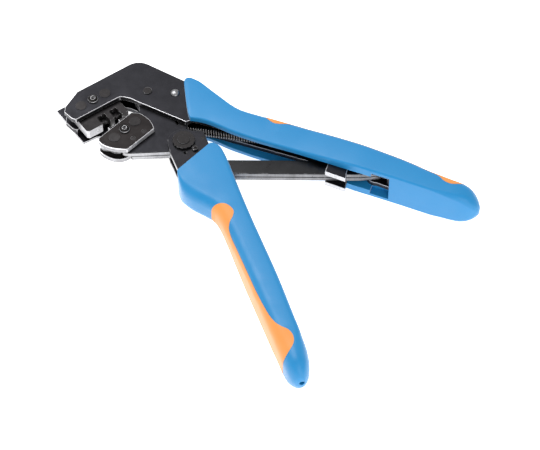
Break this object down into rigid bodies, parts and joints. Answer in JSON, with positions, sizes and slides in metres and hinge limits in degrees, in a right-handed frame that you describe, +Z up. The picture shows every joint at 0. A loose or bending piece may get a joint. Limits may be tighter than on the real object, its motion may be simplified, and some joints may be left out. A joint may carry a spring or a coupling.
{
  "type": "ratchet crimping tool",
  "caption": "Hand crimping tool with a laminated black steel head, interchangeable dies, a link-driven ratchet jaw and blue and orange grips, shown open.",
  "frame": {"origin": "centre of the bottom of the bounding box of the open tool, on the surface that both grips lie on", "axes": "+X along the fixed handle towards its free end, +Z up through the thickness of the tool, +Y away from the moving handle"},
  "size_m": [0.2468, 0.1722, 0.0235],
  "materials": {
    "black_plate": "black oxide on stamped plate, satin, ground cut edges",
    "black_fastener": "black oxide, slightly polished",
    "die_steel": "ground tool steel",
    "bright_steel": "plain turned steel",
    "spring_steel": "oiled spring wire",
    "blue_grip": "satin moulded polymer",
    "orange_insert": "soft moulded elastomer"
  },
  "bodies": {
    "frame": {"front_frame_plate": "black_plate", "back_frame_plate": "black_plate", "head_spacer": "black_plate", "tang_spacer": "black_plate", "jaw_pivot_pin": "black_fastener", "head_rivet": "black_fastener", "tang_rivets": "bright_steel", "fixed_die": "die_steel", "fixed_die_screw": "black_fastener", "fixed_die_nut": "black_fastener", "fixed_die_pins": "black_fastener", "wire_locator": "black_plate", "spring_post": "bright_steel", "rear_link_pin": "bright_steel", "upper_grip": "blue_grip", "upper_grip_insert": "orange_insert"},
    "movable_jaw": {"front_jaw_plate": "black_plate", "back_jaw_plate": "black_plate", "front_jaw_cheek": "black_plate", "back_jaw_cheek": "black_plate", "jaw_rivets": "black_fastener", "movable_die": "die_steel", "movable_die_screw": "black_fastener", "movable_die_nut": "black_fastener", "movable_die_pins": "black_fastener", "spring_hook_pin": "bright_steel", "return_spring": "spring_steel"},
    "moving_handle": {"front_handle_plate": "black_plate", "back_handle_plate": "black_plate", "handle_spacer": "black_plate", "handle_rivets": "bright_steel", "front_link_pin": "bright_steel", "pawl_pin": "bright_steel", "pawl_spring_post": "bright_steel", "pawl_spring": "spring_steel", "adjuster_lock_screw": "black_fastener", "lower_grip": "blue_grip", "lower_grip_insert": "orange_insert"},
    "adjuster": {"handle_pivot_pin": "black_fastener", "adjusting_wheel": "black_fastener", "pivot_retaining_ring": "bright_steel"},
    "pawl": {"ratchet_pawl": "die_steel"},
    "link": {"front_link_plate": "black_plate", "back_link_plate": "black_plate"}
  },
  "joints": [
    {"name": "handle_hinge", "type": "hinge", "parent": "movable_jaw", "child": "moving_handle", "pos_m": [-0.04387, 0.03992, 0.01175], "axis": [0, 0, 1], "range_deg": [0, 56.4], "stiffness_Nm_per_rad": 1, "springref_deg": -17.19},
    {"name": "jaw_hinge", "type": "hinge", "parent": "frame", "child": "movable_jaw", "pos_m": [-0.07607, 0.06712, 0.01175], "axis": [0, 0, 1], "range_deg": [-11.5, 0], "deforming": ["return_spring"]},
    {"name": "link_hinge", "type": "hinge", "parent": "frame", "child": "link", "pos_m": [0.06193, 0.06032, 0.01175], "axis": [0, 0, 1], "range_deg": [-4.72, 0]},
    {"name": "pawl_hinge", "type": "hinge", "parent": "moving_handle", "child": "pawl", "pos_m": [-0.02947, 0.03862, 0.01175], "axis": [0, 0, 1], "range_deg": [-12, 12], "stiffness_Nm_per_rad": 0.002, "deforming": ["pawl_spring"]},
    {"name": "adjuster_turn", "type": "hinge", "parent": "moving_handle", "child": "adjuster", "pos_m": [-0.04387, 0.03992, 0.01175], "axis": [0, 0, 1], "range_deg": [-60, 60]}
  ],
  "couplings": [
    {"joint": "jaw_hinge", "follows": "handle_hinge", "ratio": -0.20213},
    {"joint": "link_hinge", "follows": "handle_hinge", "ratio": -0.08191}
  ]
}
